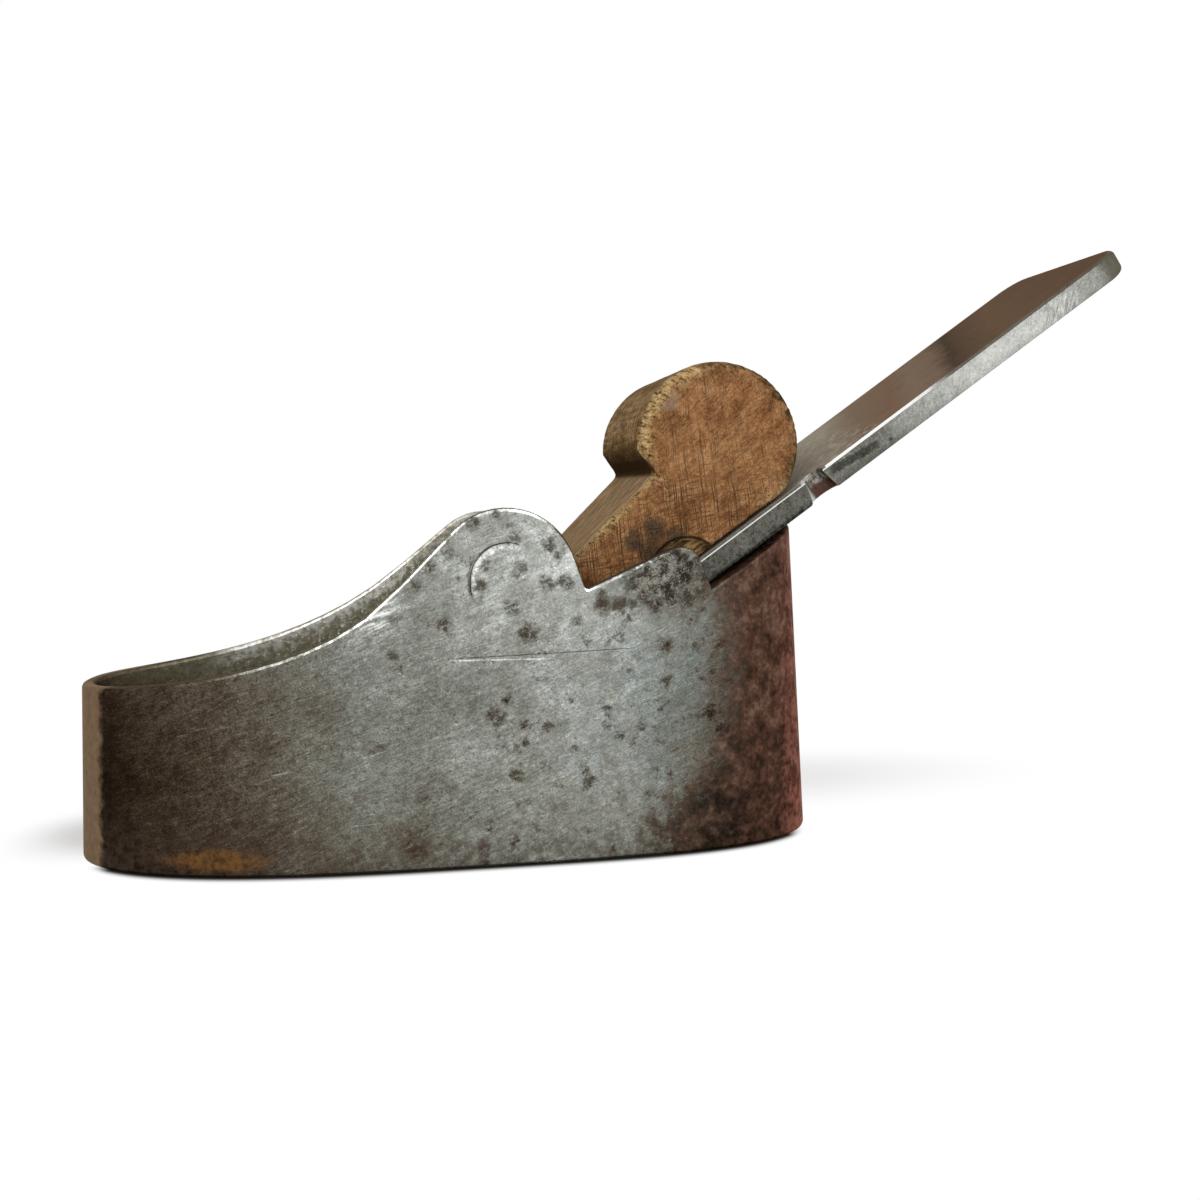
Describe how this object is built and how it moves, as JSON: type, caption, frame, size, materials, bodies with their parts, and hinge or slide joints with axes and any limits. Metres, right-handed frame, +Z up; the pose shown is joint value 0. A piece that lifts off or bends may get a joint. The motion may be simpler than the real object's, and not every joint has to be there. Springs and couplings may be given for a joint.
{
  "type": "luthier plane",
  "caption": "Small metal hand plane with a bent iron band body, round cross bar, thick single iron and a round-headed wooden wedge, for shaping instrument plates.",
  "frame": {"origin": "middle of the sole, on its underside", "axes": "+Z up, +X from the toe to the heel, +Y across the body"},
  "size_m": [0.1438, 0.0344, 0.0822],
  "materials": {
    "band_iron": "worn, pitted and scratched iron with dark rust stains",
    "sole_iron": "flat iron worn bright by use",
    "bar_iron": "riveted and filed flush",
    "bed_wood": "dark oiled hardwood",
    "blade_steel": "ground edges, brown satin face",
    "wedge_wood": "worn reddish hardwood with scratches and stains"
  },
  "bodies": {
    "body": {"body_band": "band_iron", "toe_sole": "sole_iron", "heel_sole": "sole_iron", "cross_bar": "bar_iron", "bed_block": "bed_wood"},
    "blade": {"blade": "blade_steel"},
    "wedge": {"wedge": "wedge_wood"}
  },
  "joints": [
    {"name": "blade_slide", "type": "slide", "parent": "body", "child": "blade", "axis": [0.8121, 0, 0.5835], "range_m": [-0.0005, 0.06]},
    {"name": "wedge_slide", "type": "slide", "parent": "body", "child": "wedge", "axis": [0.8121, 0, 0.5835], "range_m": [0, 0.05]}
  ]
}
